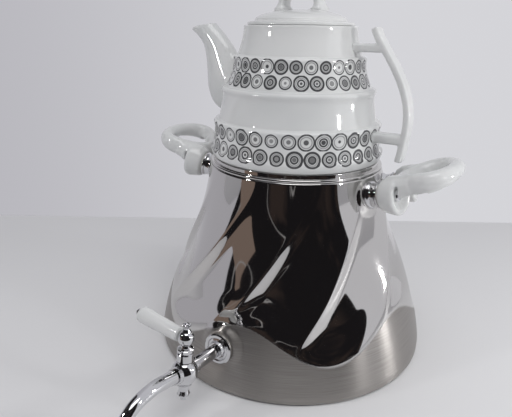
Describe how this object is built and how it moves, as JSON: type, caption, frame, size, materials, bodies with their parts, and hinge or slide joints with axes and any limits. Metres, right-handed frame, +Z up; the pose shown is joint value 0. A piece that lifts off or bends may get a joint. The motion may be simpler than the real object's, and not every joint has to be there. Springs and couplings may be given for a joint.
{
  "type": "samovar",
  "caption": "Stovetop samovar: a wide steel kettle with twisted flutes, a lever tap and porcelain side handles, under a tiered porcelain teapot.",
  "frame": {"origin": "centre of the base, on the table", "axes": "+Z up along the axis of kettle and teapot; -Y towards the tap; +X towards the teapot handle, -X towards the teapot spout"},
  "size_m": [0.2576, 0.3243, 0.2827],
  "materials": {
    "polished_steel": "mirror polished sheet, with a satin band at the foot",
    "satin_steel": "satin",
    "chrome": "bright chrome plating",
    "porcelain": "white glaze, with dark grey ring bands on two tiers",
    "aluminium": "machined",
    "silicone": "matt, translucent white",
    "black_rubber": "matt"
  },
  "bodies": {
    "kettle": {"kettle_body": "polished_steel", "capsule_cover": "satin_steel", "core_disc": "aluminium", "bottom_pan": "satin_steel", "top_collar": "polished_steel", "grip_right": "porcelain", "grip_left": "porcelain", "standoff_right": "chrome", "standoff_left": "chrome", "grip_cushions": "silicone", "grip_screws": "chrome", "grip_seals": "silicone", "grip_washers": "satin_steel", "grip_nuts": "satin_steel", "tap_gasket": "silicone", "tap_escutcheon": "chrome", "tap_body": "chrome", "spout_tube": "chrome", "tap_seal": "silicone", "tap_washer": "satin_steel", "tap_nut": "satin_steel"},
    "tap_valve": {"plug": "chrome", "plug_rings": "black_rubber", "plug_washer": "chrome", "bottom_nut": "chrome", "lever_ball": "chrome", "crown_finial": "chrome", "lever_rod": "satin_steel", "lever_grip": "porcelain", "lever_tip": "chrome"},
    "teapot": {"teapot": "porcelain", "teapot_spout": "porcelain", "teapot_handle": "porcelain"},
    "lid": {"lid": "porcelain"}
  },
  "joints": [
    {"name": "valve_turn", "type": "hinge", "parent": "kettle", "child": "tap_valve", "pos_m": [0, -0.14591, 0.03825], "axis": [0, 0.1219, 0.9925], "range_deg": [0, 90]},
    {"name": "teapot_lift", "type": "slide", "parent": "kettle", "child": "teapot", "axis": [0, 0, 1], "range_m": [0, 0.12]},
    {"name": "lid_lift", "type": "slide", "parent": "teapot", "child": "lid", "axis": [0, 0, 1], "range_m": [0, 0.06]}
  ]
}
